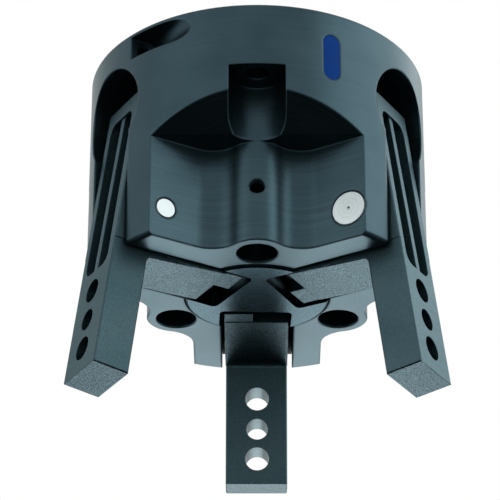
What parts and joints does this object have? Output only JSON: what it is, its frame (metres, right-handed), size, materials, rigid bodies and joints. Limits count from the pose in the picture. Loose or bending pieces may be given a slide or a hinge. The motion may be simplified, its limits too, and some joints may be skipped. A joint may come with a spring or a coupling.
{
  "type": "pneumatic angular gripper",
  "caption": "Pneumatic angular gripper with a round body and fingers that swing in together, driven by a piston and a slotted disc.",
  "frame": {"origin": "centre of the mounting face", "axes": "+Z out of the mounting face, towards the robot; fingers hang to -Z; one finger lies towards +Y"},
  "size_m": [0.0994, 0.0987, 0.1],
  "materials": {
    "body": "hard anodised, satin",
    "cover": "hard anodised, satin",
    "jaw": "hard anodised, matte",
    "driver": "turned",
    "pin": "ground",
    "rod": "turned",
    "screw": "black oxide",
    "bronze": "sintered",
    "elastomer": "matte",
    "slide_plastic": "matte",
    "plate": "smooth"
  },
  "bodies": {
    "body": {"housing": "body", "name_plate": "plate", "back_cover": "cover", "cover_ring": "elastomer", "cover_screws": "screw", "rod_bush": "bronze", "rod_seal": "elastomer", "hinge_pin_back": "pin", "hinge_pin_left": "pin", "hinge_pin_right": "pin"},
    "drive": {"piston": "rod", "piston_seal": "elastomer", "piston_guide": "slide_plastic", "end_buffers": "elastomer", "centre_screw": "screw", "driver": "driver", "cross_pins": "pin"},
    "jaw_back": {"jaw_back": "jaw", "bushes_back": "bronze"},
    "jaw_left": {"jaw_left": "jaw", "bushes_left": "bronze"},
    "jaw_right": {"jaw_right": "jaw", "bushes_right": "bronze"}
  },
  "joints": [
    {"name": "piston_slide", "type": "slide", "parent": "body", "child": "drive", "axis": [0, 0, 1], "range_m": [0, 0.0051]},
    {"name": "hinge_back", "type": "hinge", "parent": "body", "child": "jaw_back", "pos_m": [0, 0.03745, -0.055], "axis": [-1, 0, 0], "range_deg": [0, 10.81]},
    {"name": "hinge_left", "type": "hinge", "parent": "body", "child": "jaw_left", "pos_m": [-0.03243, -0.01872, -0.055], "axis": [0.5, -0.866, 0], "range_deg": [0, 10.81]},
    {"name": "hinge_right", "type": "hinge", "parent": "body", "child": "jaw_right", "pos_m": [0.03243, -0.01872, -0.055], "axis": [0.5, 0.866, 0], "range_deg": [0, 10.81]}
  ],
  "couplings": [
    {"joint": "hinge_back", "follows": "piston_slide", "rad_per_m": 36.96},
    {"joint": "hinge_left", "follows": "piston_slide", "rad_per_m": 36.96},
    {"joint": "hinge_right", "follows": "piston_slide", "rad_per_m": 36.96}
  ]
}
